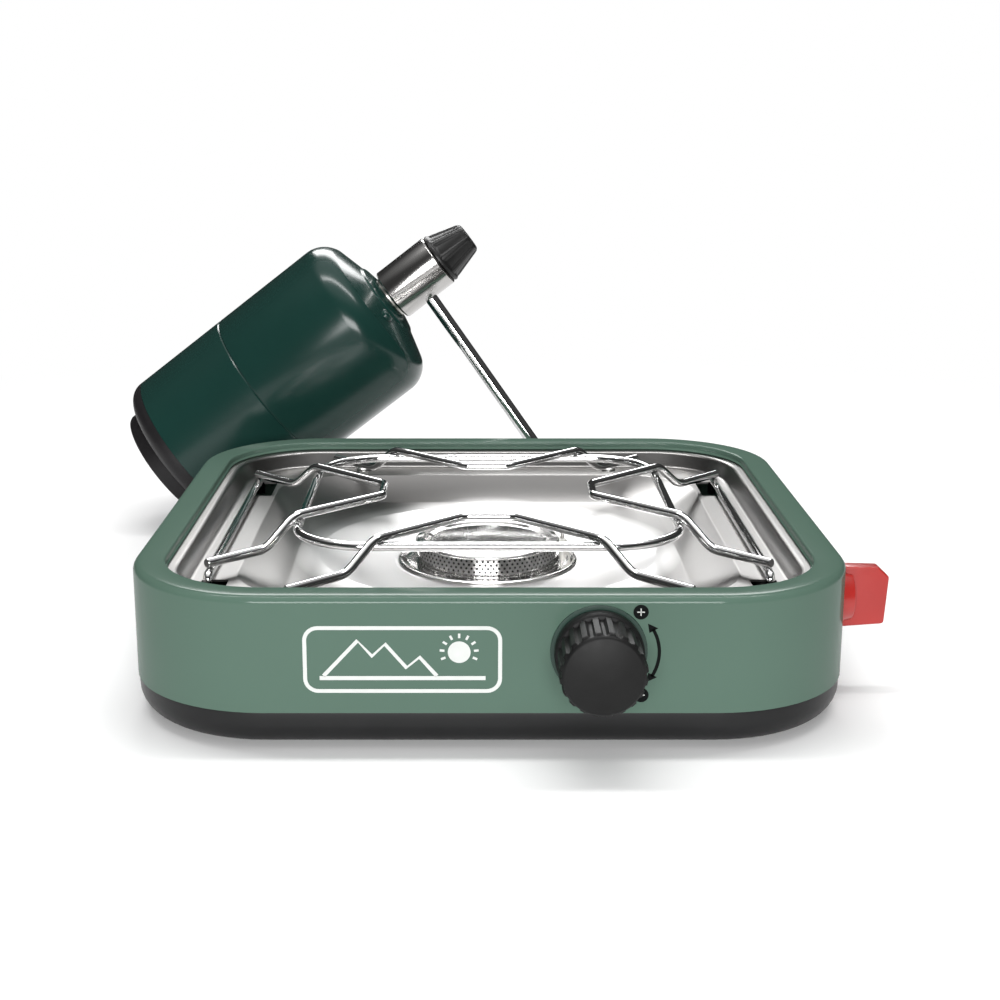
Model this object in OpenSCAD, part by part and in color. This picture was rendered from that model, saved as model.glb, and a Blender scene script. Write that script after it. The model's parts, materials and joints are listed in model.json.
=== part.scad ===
// Single-burner camping stove with a fuel cylinder, regulator and lift-off pot support.
// Origin: centre of the stove body on the ground. +X right, +Y away from the control knob, +Z up.

/* [Body] */
// Width of the stove body, left to right
body_w = 290; // [280:1:310]
// Depth of the stove body, front to back
body_d = 286; // [276:1:306]
// Height of the rim above the ground
rim_z = 62; // [61:0.5:64]
// Height of the joint between the green housing and the black base
joint_z = 15.6; // [15:0.2:17]
// Outer corner radius in plan
corner_r = 58; // [58:1:64]
// Width of the flat rim around the pan
rim_w = 13; // [12.5:0.5:14]
// Housing sheet thickness
sheet = 1.5; // [1.2:0.1:1.8]

/* [Pot support] */
// Wire diameter of the pot support
wire_d = 4; // [3.6:0.2:4.4]
// Distance of the flat wire tips from the burner axis
tip_out = 48; // [44:1:54]
// Height of the upper wires above the rim, to the wire's centre
grate_rise = 6; // [5:0.5:9]

/* [Burner] */
// Radius of the burner cap
cap_r = 33.5; // [30:0.5:33.5]

/* [Controls] */
// Control knob centre, right of the middle
knob_x = 41; // [36:1:46]
// Control knob grip radius
knob_r = 15.4; // [13:0.1:16]
// Igniter centre, in front of the middle
igniter_y = -74; // [-80:1:-66]

/* [Fuel cylinder] */
// Fuel cylinder radius
bottle_r = 49.2; // [47:0.2:50]
// Angle of the fuel cylinder's axis above the ground
bottle_tilt = 37.5; // [37:0.5:40]

/* [Hidden] */
$fn = 64;

// Overlap that keeps fused shapes of one piece joined
weld = 0.2;
// Running clearance of a shaft in its bore, on the radius
run = 0.06;
front_y = -body_d / 2;
back_y = body_d / 2;
side_x = body_w / 2;

// Base tray
floor_z = 1.5;
floor_t = 2;
base_round = 10;
base_inset = 1.3;
boss_x = side_x - 15;
boss_y = 50;
bracket_z = 20;
foot_r = 9;
foot_x = side_x - 42;
foot_y = back_y - 42;

// Drip pan, heights and distances in from the body's outer face
lip_z = rim_z - 4;
pan_t = 1;
shelf_z = rim_z - 11.8;
shelf_in = 39;
slope_in = 57;
mid_z = rim_z - 22;
dish_r = 80;
dish_z = rim_z - 27.5;
pan_hole_r = 36;
slot_x = 113;
slot_y = 78;
pan_screw_x = 65;
pan_screw_y = back_y - 28;

// Burner
bowl_r = 34.5;
bowl_z = 14;
flange_r = 41.5;
drum_z = dish_z + 1.2;
cap_z = drum_z + 8;
gas_z = 24;
mixer_r = 7.5;
mixer_bend = 30;
mixer_turn = 45;
mixer_mouth_y = front_y + 32;
electrode_r = 38.2;
electrode_turn = 22;

// Valve and knob
knob_z = rim_z - 21.4;
stem_r = 2.5;
neck_r = 6;
valve_back = front_y + 25;
knob_back = front_y - 1.6;
knob_front = front_y - 28;

// Inlet
inlet_x = 43;
inlet_z = 26;
spigot_r = 4;
tube_x = 76;
tube_r = 3;

// Igniter
igniter_z = rim_z - 21;
igniter_reach = 21.8;

// Pot support
wire_r = wire_d / 2;
high_z = rim_z + grate_rise;
low_z = rim_z - 5.7;
ring_z = high_z - wire_d + weld;
rod_z = low_z - wire_d + weld;
ring_half = 82;
ring_corner = 32;
rod_x = 116;
rod_y = 84;

// Fuel cylinder: seam centre, and distances along the axis from it
seam = [-123.4, 209, 77.83];
shoulder_u = 64;
collar_u = 86.5;
neck_top_u = 99;
base_u = -69;
band_u = -59;
foot_u = -78.5;
relief_r = 4;
reg_u = 88;
reg_len = 34;
reg_r = 15.5;
grip_u = 143.5;
pipe_u = 105;
pipe_r = 3.7;
axis_dir = [cos(bottle_tilt), 0, sin(bottle_tilt)];
down_dir = [sin(bottle_tilt), 0, -cos(bottle_tilt)];
pipe_start = seam + axis_dir * pipe_u + down_dir * 12;
pipe_knee = [inlet_x, back_y + 54, inlet_z];

green = [0.28, 0.43, 0.37];
black = [0.12, 0.12, 0.12];
steel = [0.75, 0.75, 0.74];
bright = [0.9, 0.9, 0.9];
brass = [0.8, 0.65, 0.35];
bottle_green = [0.07, 0.2, 0.17];

// ---- Shared shapes ----

function unit(v) = v / norm(v);
function arc(cx, cy, r, from, to, steps) =
    [for (i = [0:steps]) [cx + r * cos(from + (to - from) * i / steps),
                          cy + r * sin(from + (to - from) * i / steps)]];

// Places children with their local X, Y and Z along the given unit vectors.
module placed(x_dir, y_dir, z_dir, at) {
    multmatrix([
        [x_dir[0], y_dir[0], z_dir[0], at[0]],
        [x_dir[1], y_dir[1], z_dir[1], at[1]],
        [x_dir[2], y_dir[2], z_dir[2], at[2]],
        [0, 0, 0, 1]
    ]) children();
}

// A rod of round section from a to b.
module rod(a, b, r) {
    z_dir = unit(b - a);
    side = abs(z_dir[2]) > 0.9 ? [1, 0, 0] : [0, 0, 1];
    x_dir = unit(cross(side, z_dir));
    placed(x_dir, cross(z_dir, x_dir), z_dir, a) cylinder(h = norm(b - a), r = r);
}

// A path's points with each inner corner rounded to the given radius, in steps chords.
function rounded(points, bend, steps) =
    let (last = len(points) - 1)
    [for (i = [0:last])
        let (into = unit(points[max(i, 1)] - points[max(i, 1) - 1]),
             onward = unit(points[min(i + 1, last)] - points[min(i + 1, last) - 1]),
             turn = i == 0 || i == last ? 0 : acos(into * onward),
             start = points[i] - into * bend * tan(turn / 2),
             toward = turn == 0 ? [0, 0, 0] : unit(onward - into * (into * onward)))
        for (k = [0:turn == 0 ? 0 : steps])
            let (a = turn * k / steps)
            turn == 0 ? points[i] : start + bend * (into * sin(a) + toward * (1 - cos(a)))];

// A round tube or wire through points, with a ball at each inner corner.
module elbows(points, r) {
    last = len(points) - 1;
    for (i = [0:last - 1]) rod(points[i], points[i + 1], r);
    for (i = [1:last - 1]) translate(points[i]) sphere(r = r + 0.05);
}

// A bent wire through points, as a mesh with that many sides. It may not run straight up.
module bent_wire(points, r, sides) {
    last = len(points) - 1;
    rings = [for (i = [0:last])
        let (into = unit(points[max(i, 1)] - points[max(i, 1) - 1]),
             onward = unit(points[min(i + 1, last)] - points[min(i + 1, last) - 1]),
             along = unit(into + onward),
             across = unit(cross([0, 0, 1], along)),
             up = cross(along, across))
        for (k = [0:sides - 1])
            let (a = 360 * (k + 0.5) / sides)
            points[i] + r * (across * cos(a) + up * sin(a))];
    walls = [for (i = [0:last - 1], k = [0:sides - 1])
        let (near = i * sides, far = near + sides, next = (k + 1) % sides)
        each [[near + k, far + k, far + next], [near + k, far + next, near + next]]];
    ends = [[for (k = [0:sides - 1]) k], [for (k = [sides - 1:-1:0]) last * sides + k]];
    polyhedron(rings, concat(walls, ends), convexity = 4);
}

// Sweeps a profile around the body's outline. Profile x = 0 is the body's outer face, y is height.
module around(w, d, r) {
    for (side = [0:3]) {
        across = side % 2 == 0 ? w : d;
        along = side % 2 == 0 ? d : w;
        rotate([0, 0, 90 * side]) {
            translate([across / 2, along / 2 - r, 0])
                rotate([90, 0, 0]) linear_extrude(along - 2 * r) children();
            translate([across / 2 - r, along / 2 - r, 0])
                rotate_extrude(angle = 90) translate([r, 0]) children();
        }
    }
}

// A flat plate with the body's outline, set in by inset.
module plate(inset, z, t) {
    w = body_w - 2 * inset;
    d = body_d - 2 * inset;
    r = corner_r - inset;
    translate([0, 0, z]) linear_extrude(t) {
        square([w, d - 2 * r], center = true);
        square([w - 2 * r, d], center = true);
        for (sx = [-1, 1], sy = [-1, 1])
            translate([sx * (w / 2 - r), sy * (d / 2 - r)]) circle(r = r);
    }
}

module four(x, y) {
    for (sx = [-1, 1], sy = [-1, 1]) translate([sx * x, sy * y, 0]) children();
}

// A ring of rectangular section around the local Z axis.
module tube(r_in, r_out, h) {
    difference() {
        cylinder(h = h, r = r_out);
        translate([0, 0, -1]) cylinder(h = h + 2, r = r_in);
    }
}

// Children's +Z points forward out of the front face, on the knob's axis.
module on_knob_axis(y) {
    translate([knob_x, y, knob_z]) rotate([90, 0, 0]) children();
}

// Children's +Z points backward out of the back face, on the inlet's axis.
module on_inlet_axis(y) {
    translate([inlet_x, y, inlet_z]) rotate([-90, 0, 0]) children();
}

// Children's +Z points out of the right side, on the igniter's axis.
module on_igniter_axis(x) {
    translate([x, igniter_y, igniter_z]) rotate([0, 90, 0]) children();
}

// Children's +Z runs up the fuel cylinder's axis, from the seam.
module on_bottle_axis(u) {
    translate(seam + axis_dir * u) rotate([0, 90 - bottle_tilt, 0]) children();
}

// Children's +Z points out of the cylinder's shoulder, on the relief valve's axis.
module on_relief(h) {
    rotate([0, 0, -80]) translate([28, 0, 76 + h]) children();
}

// ---- Casing ----

module upper_housing() {
    top_r = 3;
    profile = concat(
        [[0, joint_z]],
        arc(-top_r, rim_z - top_r, top_r, 0, 90, 6),
        arc(-rim_w + 1, rim_z - 1, 1, 90, 180, 3),
        [[-rim_w, lip_z], [-rim_w + sheet, lip_z], [-rim_w + sheet, rim_z - sheet]],
        arc(-top_r, rim_z - top_r, top_r - sheet, 90, 0, 4),
        [[-sheet, joint_z]]
    );
    color(green) difference() {
        around(body_w, body_d, corner_r) polygon(profile);
        on_knob_axis(front_y + 5) cylinder(h = 10, r = neck_r + 0.2);
        on_inlet_axis(back_y - 5) cylinder(h = 10, r = neck_r + 0.2);
        on_igniter_axis(side_x - 5) cylinder(h = 10, r = neck_r + 0.2);
    }
}

module base_tray() {
    arc_x = -base_inset - base_round;
    arc_z = floor_z + base_round;
    inner_r = base_round - floor_t;
    profile = concat(
        [[-0.9, joint_z]],
        arc(arc_x, arc_z, base_round, 0, -90, 8),
        [[arc_x - 4, floor_z], [arc_x - 4, floor_z + floor_t]],
        arc(arc_x, arc_z, inner_r, -90, 0, 8),
        [[-3.6, joint_z + 4], [-1.9, joint_z + 4], [-1.9, joint_z]]
    );
    color(black) difference() {
        union() {
            around(body_w, body_d, corner_r) polygon(profile);
            plate(-arc_x + 1, floor_z, floor_t);
            four(boss_x, boss_y) translate([0, 0, floor_z]) cylinder(h = bracket_z - floor_z, r = 4.6);
        }
        four(boss_x, boss_y) {
            cylinder(h = 5, r = 4);
            cylinder(h = bracket_z + 1, r = 2.1);
        }
        four(foot_x, foot_y) cylinder(h = 10, r = 2.5);
        on_inlet_axis(back_y - 8) cylinder(h = 7.5, r = 9.4);
        for (sx = [-1, 1], i = [-2:2])
            translate([sx * 60 - 20, i * 12 - 2, 0]) cube([40, 4, 10]);
    }
}

module rubber_feet() {
    color(black) four(foot_x, foot_y) {
        cylinder(h = floor_z, r = foot_r);
        cylinder(h = floor_z + floor_t + 0.5, r = 2.5);
        translate([0, 0, floor_z + floor_t]) cylinder(h = 1.6, r = 3.6);
    }
}

module base_screws() {
    color(steel) four(boss_x, boss_y) {
        translate([0, 0, 2.6]) cylinder(h = 2.4, r = 3.6);
        translate([0, 0, 2.6]) cylinder(h = bracket_z + 1, r = 1.9);
    }
}

module base_brackets() {
    tab = 16;
    color(steel) for (sx = [-1, 1], sy = [-1, 1])
        translate([sx * side_x, sy * boss_y, 0]) mirror([sx > 0 ? 0 : 1, 0, 0]) difference() {
            union() {
                translate([-sheet - 1.2, -tab / 2, bracket_z]) cube([1.2, tab, 17]);
                translate([-22, -tab / 2, bracket_z]) cube([22 - sheet, tab, 1.4]);
            }
            translate([boss_x - side_x, 0, bracket_z - 1]) cylinder(h = 4, r = 1.9);
        }
}

// ---- Pan ----

module drip_pan() {
    profile = concat(
        [[-12.4, lip_z]],
        arc(-16, lip_z - 2.4, 2.4, 90, 150, 3),
        [[-21.6, shelf_z + 1], [-22.8, shelf_z], [-shelf_in, shelf_z], [-slope_in, mid_z],
         [-slope_in, mid_z - pan_t], [-shelf_in + 0.5, shelf_z - pan_t], [-22, shelf_z - pan_t]],
        arc(-16, lip_z - 2.4, 1.4, 150, 90, 3),
        [[-12.4, lip_z - pan_t]]
    );
    color(steel) difference() {
        union() {
            around(body_w, body_d, corner_r) polygon(profile);
            difference() {
                plate(slope_in - 0.4, mid_z - pan_t, pan_t);
                translate([0, 0, mid_z - 5]) cylinder(h = 10, r = dish_r - 0.4);
            }
            rotate_extrude() polygon([
                [dish_r, mid_z], [flange_r + 1, dish_z], [pan_hole_r, dish_z],
                [pan_hole_r, dish_z - pan_t], [flange_r + 1, dish_z - pan_t], [dish_r, mid_z - pan_t]
            ]);
        }
        four(slot_x, slot_y) translate([-5.5, -11, shelf_z - 5]) cube([11, 22, 10]);
        four(pan_screw_x, pan_screw_y) translate([0, 0, shelf_z - 5]) cylinder(h = 10, r = 1.6);
        rotate([0, 0, electrode_turn]) translate([electrode_r, 0, 0]) cylinder(h = 60, r = 2.6);
    }
}

module pan_screws() {
    color(bright) four(pan_screw_x, pan_screw_y) {
        translate([0, 0, shelf_z - 5]) cylinder(h = 5.5, r = 1.6);
        intersection() {
            translate([0, 0, shelf_z - 4]) sphere(r = 5.7);
            translate([0, 0, shelf_z]) cylinder(h = 3, r = 4);
        }
    }
}

module pan_brackets() {
    tab = 14;
    z = shelf_z - pan_t - 1.2;
    color(steel) for (sx = [-1, 1], sy = [-1, 1])
        translate([sx * pan_screw_x, sy * back_y, 0]) mirror([0, sy > 0 ? 0 : 1, 0]) difference() {
            union() {
                translate([-tab / 2, -33, z]) cube([tab, 33 - sheet, 1.2]);
                translate([-tab / 2, -sheet - 1.2, z - 14]) cube([tab, 1.2, 14.5]);
            }
            translate([0, pan_screw_y - back_y, z - 1]) cylinder(h = 4, r = 1.6);
        }
}

// ---- Burner ----

module burner_bowl() {
    color(bright) difference() {
        union() {
            rotate_extrude() polygon([
                [5.2, bowl_z], [bowl_r - 5, bowl_z], [bowl_r, bowl_z + 5], [bowl_r, dish_z],
                [flange_r, dish_z], [flange_r, dish_z + 0.8], [flange_r - 0.6, drum_z + 0.4],
                [flange_r - 1.6, drum_z], [bowl_r - 1.2, drum_z], [bowl_r - 1.2, bowl_z + 5.5],
                [bowl_r - 5.5, bowl_z + 1.2], [5.2, bowl_z + 1.2]
            ]);
            translate([0, 0, bowl_z]) tube(2.6, 6, 1.2);
        }
        rotate([0, 0, -mixer_turn]) translate([0, 0, gas_z]) rotate([0, 90, 0]) cylinder(h = 60, r = mixer_r);
        rotate([0, 0, electrode_turn]) translate([electrode_r, 0, 0]) cylinder(h = 60, r = 2.6);
    }
}

module burner_retainer() {
    color(steel) difference() {
        translate([0, 0, dish_z - pan_t - 1.4]) tube(bowl_r, pan_hole_r + 5, 1.4);
        rotate([0, 0, electrode_turn]) translate([electrode_r, 0, 0]) cylinder(h = 60, r = 3.2);
    }
}

module burner_drum() {
    ports = 24;
    color(bright) difference() {
        rotate_extrude() polygon([
            [bowl_r - 1, drum_z], [cap_r - 1, cap_z], [cap_r - 2, cap_z], [bowl_r - 2, drum_z]
        ]);
        for (i = [0:ports - 1])
            rotate([0, 0, 360 / ports * i]) translate([bowl_r - 6, 0, drum_z + 4])
                rotate([0, 90, 0]) cylinder(h = 10, r = 1.1);
    }
}

module burner_cap() {
    color(bright) rotate_extrude() polygon(concat(
        [[0, cap_z - 1.5], [6, cap_z - 1.5], [6, cap_z], [cap_r - 0.8, cap_z]],
        arc(cap_r - 0.8, cap_z + 0.8, 0.8, -90, 60, 5),
        [[cap_r - 6, cap_z + 2.4], [cap_r - 9, cap_z + 1.8], [0, cap_z + 1.8]]
    ));
}

module burner_bolt() {
    color(steel) {
        translate([0, 0, bowl_z - 3]) cylinder(h = 3, r = 4.5, $fn = 6);
        translate([0, 0, bowl_z - 3]) cylinder(h = cap_z - 1.5 - bowl_z + 3, r = 2.6);
    }
}

module mixing_tube() {
    bend_x = knob_x - mixer_bend;
    bend_y = -(mixer_bend + bend_x * cos(mixer_turn)) / sin(mixer_turn);
    knee = [knob_x, bend_y + mixer_bend * tan(mixer_turn / 2), gas_z];
    mouth = [knob_x, mixer_mouth_y, gas_z];
    end = [1, -1, 0] * (bowl_r - 1) / sqrt(2) + [0, 0, gas_z];
    color(steel) difference() {
        union() {
            elbows([mouth, knee, end], mixer_r);
            rod(mouth, mouth + [0, 3, 0], mixer_r + 1.6);
        }
        elbows([mouth - [0, 5, 0], knee, end + [-5, 5, 0]], mixer_r - 1.2);
        for (side = [-1, 1])
            translate([knob_x + side * mixer_r - 2, mixer_mouth_y + 6, gas_z - 3]) cube([4, 12, 6]);
    }
}

module electrode() {
    rotate([0, 0, electrode_turn]) translate([electrode_r, 0, 0]) color(steel)
        elbows([[0, 0, dish_z - 8], [0, 0, cap_z + 1.6], [-2.6, 0, cap_z + 3.4]], 0.9);
}

module electrode_insulator() {
    rotate([0, 0, electrode_turn]) translate([electrode_r, 0, 0]) color([0.93, 0.92, 0.88]) difference() {
        union() {
            translate([0, 0, dish_z - 7]) cylinder(h = 13, r = 2.6);
            translate([0, 0, dish_z - 4.4]) cylinder(h = 2, r = 3.2);
        }
        cylinder(h = 60, r = 0.9);
    }
}

// ---- Gas train ----

module valve_body() {
    drop = knob_z - gas_z;
    color(brass) difference() {
        union() {
            on_knob_axis(valve_back) cylinder(h = valve_back - front_y - sheet, r = 8);
            on_knob_axis(valve_back) cylinder(h = valve_back - front_y + 4.4, r = neck_r);
            translate([knob_x - 7, front_y + 8, gas_z - 7]) cube([14, 14, drop + 7]);
            translate([knob_x, front_y + 15, gas_z]) rotate([0, 90, 0]) cylinder(h = 14, r = 5);
        }
        on_knob_axis(valve_back - 4) cylinder(h = 40, r = stem_r + run);
        on_knob_axis(front_y + 3) cylinder(h = 1.3, r = stem_r + 1.5);
        translate([knob_x, front_y + 15, gas_z]) rotate([0, 90, 0]) cylinder(h = 20, r = tube_r);
        translate([knob_x, front_y + 15, gas_z]) rotate([-90, 0, 0]) cylinder(h = 20, r = 2);
        translate([knob_x, front_y + 15, gas_z]) cylinder(h = drop, r = 1.5);
    }
}

module stem_seal() {
    color(black) on_knob_axis(front_y + 3) translate([0, 0, 0.65])
        rotate_extrude() translate([stem_r + 0.8, 0]) circle(r = 0.6, $fn = 24);
}

module gas_jet() {
    color(brass) translate([knob_x, front_y + 22, gas_z]) rotate([-90, 0, 0]) difference() {
        union() {
            cylinder(h = 3.5, r = 4, $fn = 6);
            cylinder(h = 7, r = 2.4);
            translate([0, 0, -4]) cylinder(h = 5, r = 2);
        }
        translate([0, 0, -5]) cylinder(h = 20, r = 0.6);
    }
}

module valve_nut() {
    color(steel) on_knob_axis(front_y - 0.8) difference() {
        cylinder(h = 3, r = 9, $fn = 6);
        translate([0, 0, -1]) cylinder(h = 6, r = neck_r);
    }
}

module knob_bezel() {
    color(black) on_knob_axis(front_y) tube(neck_r, 18.4, 0.8);
}

module gas_tube() {
    y_back = back_y - 43;
    y_front = front_y + 15;
    color(steel) difference() {
        elbows([[inlet_x, back_y - 21, inlet_z], [inlet_x, y_back, inlet_z], [tube_x, y_back, inlet_z],
                [tube_x, y_front, gas_z], [knob_x + 8, y_front, gas_z]], tube_r);
        elbows([[inlet_x, back_y, inlet_z], [inlet_x, y_back, inlet_z], [tube_x, y_back, inlet_z],
                [tube_x, y_front, gas_z], [knob_x + 5, y_front, gas_z]], tube_r - 0.8);
    }
}

module inlet_fitting() {
    color(brass) difference() {
        union() {
            on_inlet_axis(back_y - 23) cylinder(h = 26, r = neck_r);
            on_inlet_axis(back_y - sheet - 3) cylinder(h = 3, r = 9);
        }
        on_inlet_axis(back_y - 17) cylinder(h = 30, r = spigot_r + run);
        on_inlet_axis(back_y - 9) cylinder(h = 1.3, r = 5.3);
        on_inlet_axis(back_y - 24) cylinder(h = 3.1, r = tube_r);
        on_inlet_axis(back_y - 22) cylinder(h = 8, r = 1.5);
    }
}

module inlet_nut() {
    color(steel) on_inlet_axis(back_y) difference() {
        cylinder(h = 2.6, r = 9.5, $fn = 6);
        translate([0, 0, -1]) cylinder(h = 6, r = neck_r);
    }
}

module inlet_seal() {
    color(black) on_inlet_axis(back_y - 9) translate([0, 0, 0.65])
        rotate_extrude() translate([4.7, 0]) circle(r = 0.6, $fn = 24);
}

// ---- Igniter ----

module igniter_body() {
    back = side_x - 32;
    color(black) difference() {
        union() {
            on_igniter_axis(back) cylinder(h = side_x - sheet - back, r = 7.5);
            on_igniter_axis(back + 8) cylinder(h = side_x - back - 4.6, r = neck_r);
            translate([back + 4, igniter_y - 6, 8]) cube([12, 12, igniter_z - 8]);
        }
        on_igniter_axis(back + 10) cylinder(h = 50, r = stem_r + run);
        on_igniter_axis(back + 13) cylinder(h = 6, r = 5.4);
    }
}

module igniter_spring() {
    color(steel) on_igniter_axis(side_x - 18.5)
        for (i = [0:4]) translate([0, 0, 0.5 + i * 1.05])
            rotate_extrude() translate([4.2, 0]) circle(r = 0.55, $fn = 24);
}

module igniter_nut() {
    color(steel) on_igniter_axis(side_x) difference() {
        cylinder(h = 2, r = 8.4, $fn = 6);
        translate([0, 0, -1]) cylinder(h = 6, r = neck_r);
    }
}

module igniter_shaft() {
    color(steel) on_igniter_axis(side_x - 21) cylinder(h = 31, r = stem_r);
}

module igniter_knob() {
    half = 3.4;
    high = 13.2;
    reach = igniter_reach;
    color([0.75, 0.2, 0.18]) on_igniter_axis(side_x) difference() {
        union() {
            translate([0, 0, 0.6]) cylinder(h = 6, r1 = 11.4, r2 = 10.4);
            rotate([90, 0, 0]) translate([0, 0, -half]) linear_extrude(2 * half) polygon([
                [-high + 1.6, 5], [-high, 7], [-high + 0.8, reach - 4], [-high + 4, reach - 1],
                [high - 2, reach], [high, reach - 3], [high, 7], [high - 1.6, 5]
            ]);
        }
        translate([0, 0, -1]) cylinder(h = 4.8, r = 8.9);
        cylinder(h = 10, r = stem_r);
    }
}

module ignition_wire() {
    x_far = side_x - 28;
    turn_x = electrode_r * cos(electrode_turn);
    turn_y = electrode_r * sin(electrode_turn);
    run_z = 9;
    color(black) elbows([
        [x_far, igniter_y + 4, run_z], [x_far - 6, igniter_y + 4, run_z],
        [x_far - 6, turn_y, run_z], [turn_x, turn_y, run_z], [turn_x, turn_y, dish_z - 8]
    ], 1.5);
}

// ---- Controls ----

module control_knob() {
    ribs = 20;
    depth = knob_back - knob_front;
    color(black) on_knob_axis(knob_back) difference() {
        union() {
            cylinder(h = 5.5, r = 17);
            cylinder(h = depth - 1.2, r = knob_r - 1);
            translate([0, 0, depth - 1.2]) cylinder(h = 1.2, r1 = knob_r - 1, r2 = knob_r - 2.2);
            for (i = [0:ribs - 1]) rotate([0, 0, 360 / ribs * i])
                translate([knob_r - 2.5, -1.3, 1]) cube([2.5, 2.6, depth - 2.6]);
        }
        translate([0, 0, -1]) cylinder(h = 7, r = 10.6);
        cylinder(h = 18, r = stem_r);
    }
}

module valve_stem() {
    color(brass) on_knob_axis(valve_back - 4) cylinder(h = valve_back - 4 - knob_back + 16, r = stem_r);
}

// ---- Pot support ----

module grate_wire(turn) {
    half = 11;
    run_out = 36;
    drop = 11;
    foot = 22;
    a = half + run_out;
    b = tip_out + run_out;
    right = [
        [half, -tip_out, high_z], [a, -b, high_z], [a + drop, -b - drop, low_z],
        [a + drop + foot, -b - drop - foot, low_z]
    ];
    left = [for (i = [3:-1:0]) [-right[i][0], right[i][1], right[i][2]]];
    color(bright) rotate([0, 0, turn]) bent_wire(rounded(concat(left, right), 6, 4), wire_r, 16);
}

module grate_wire_front() { grate_wire(0); }
module grate_wire_right() { grate_wire(90); }
module grate_wire_back() { grate_wire(180); }
module grate_wire_left() { grate_wire(270); }

module grate_ring() {
    flat = ring_half - ring_corner;
    color(bright) translate([0, 0, ring_z]) for (side = [0:3]) rotate([0, 0, 90 * side]) {
        translate([ring_half, flat, 0]) rotate([90, 0, 0]) cylinder(h = 2 * flat, r = wire_r);
        translate([flat, flat, 0]) rotate_extrude(angle = 90) translate([ring_corner, 0]) circle(r = wire_r);
    }
}

module grate_rod(side) {
    foot_z = shelf_z - 5;
    path = [
        [side * rod_x, -rod_y, foot_z], [side * rod_x, -rod_y, rod_z],
        [side * rod_x, rod_y, rod_z], [side * rod_x, rod_y, foot_z]
    ];
    color(bright) elbows(rounded(path, 4, 2), wire_r);
}

module grate_rod_left() { grate_rod(-1); }
module grate_rod_right() { grate_rod(1); }

// ---- Fuel cylinder ----

module cylinder_upper() {
    wall = 1.2;
    round_r = 16;
    arc_r = bottle_r - round_r;
    color(bottle_green) on_bottle_axis(0) difference() {
        rotate_extrude() polygon(concat(
            [[bottle_r, 0]],
            arc(arc_r, shoulder_u, round_r, 0, 64, 8),
            [[22, collar_u - 2], [16, collar_u], [12.4, collar_u]],
            [[12.4, collar_u - 2.5], [22, collar_u - 4]],
            arc(arc_r, shoulder_u, round_r - wall, 64, 0, 8),
            [[bottle_r - wall, 0]]
        ));
        on_relief(-8) cylinder(h = 20, r = relief_r);
    }
}

module cylinder_lower() {
    wall = 1.2;
    color(bottle_green) on_bottle_axis(0) rotate_extrude() polygon([
        [bottle_r, 0], [bottle_r, -0.3], [bottle_r - 0.5, -0.8], [bottle_r, -1.3], [bottle_r, band_u],
        [bottle_r - 1, band_u], [bottle_r - 1, base_u + 9], [bottle_r - 8, base_u + 3],
        [0, base_u + 3], [0, base_u + 4.2], [bottle_r - 8.6, base_u + 4.2],
        [bottle_r - 2.2, base_u + 9.6], [bottle_r - 2.2, -2], [bottle_r - 1.2, -1], [bottle_r - 1.2, 0]
    ]);
}

module cylinder_base() {
    round_r = 8;
    color(black) on_bottle_axis(0) rotate_extrude() polygon(concat(
        [[bottle_r, band_u]],
        arc(bottle_r - round_r, base_u + round_r, round_r, 0, -90, 6),
        [[37, base_u], [37, foot_u + 1], [36, foot_u], [31, foot_u], [31, base_u + 1.5],
         [0, base_u + 1.5], [0, base_u + 3], [bottle_r - 8, base_u + 3],
         [bottle_r - 1, base_u + 9], [bottle_r - 1, band_u]]
    ));
}

module cylinder_neck() {
    color(steel) on_bottle_axis(collar_u - 6) tube(6.5, 12.4, neck_top_u - collar_u + 6);
}

module cylinder_valve() {
    color(brass) on_bottle_axis(collar_u - 3) difference() {
        cylinder(h = 9, r = 6.5);
        translate([0, 0, 4]) cylinder(h = 9, r = 3.5);
    }
}

module relief_valve() {
    color(steel) on_bottle_axis(0) on_relief(0) cylinder(h = 7.5, r = relief_r);
}

// ---- Regulator ----

module regulator_body() {
    top_u = reg_u + reg_len;
    color(steel) difference() {
        on_bottle_axis(reg_u) union() {
            cylinder(h = 1, r1 = reg_r - 1, r2 = reg_r);
            translate([0, 0, 1]) cylinder(h = reg_len - 2, r = reg_r);
            translate([0, 0, reg_len - 1]) cylinder(h = 1, r1 = reg_r, r2 = reg_r - 1);
        }
        on_bottle_axis(reg_u - 1) cylinder(h = neck_top_u - reg_u + 2.6, r = 12.8);
        on_bottle_axis(neck_top_u + 3) cylinder(h = 10, r = 11);
        on_bottle_axis(reg_u) cylinder(h = reg_len + 5, r = 4 + run);
        rod(pipe_start, pipe_knee, pipe_r);
    }
}

module regulator_gasket() {
    color(black) on_bottle_axis(neck_top_u + 0.4) tube(8, 12.7, 1.2);
}

module regulator_diaphragm() {
    color(black) on_bottle_axis(neck_top_u + 6) tube(4.4, 11, 0.8);
}

module regulator_spring() {
    color(steel) on_bottle_axis(neck_top_u + 7.4)
        for (i = [0:3]) translate([0, 0, i * 1.5])
            rotate_extrude() translate([6.5, 0]) circle(r = 0.6, $fn = 24);
}

module regulator_pin() {
    color(brass) on_bottle_axis(collar_u + 2.5) difference() {
        cylinder(h = neck_top_u + 4 - collar_u, r = 1.2);
        translate([0, 0, -1]) cylinder(h = 30, r = 0.4);
    }
}

module supply_pipe() {
    color(bright) difference() {
        union() {
            elbows(rounded([pipe_start, pipe_knee, [inlet_x, back_y + 3.4, inlet_z]], 14, 3), pipe_r);
            rod([inlet_x, back_y + 6, inlet_z], [inlet_x, back_y - 15, inlet_z], spigot_r);
        }
        on_inlet_axis(back_y - 16) cylinder(h = 30, r = 1.6);
    }
}

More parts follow.
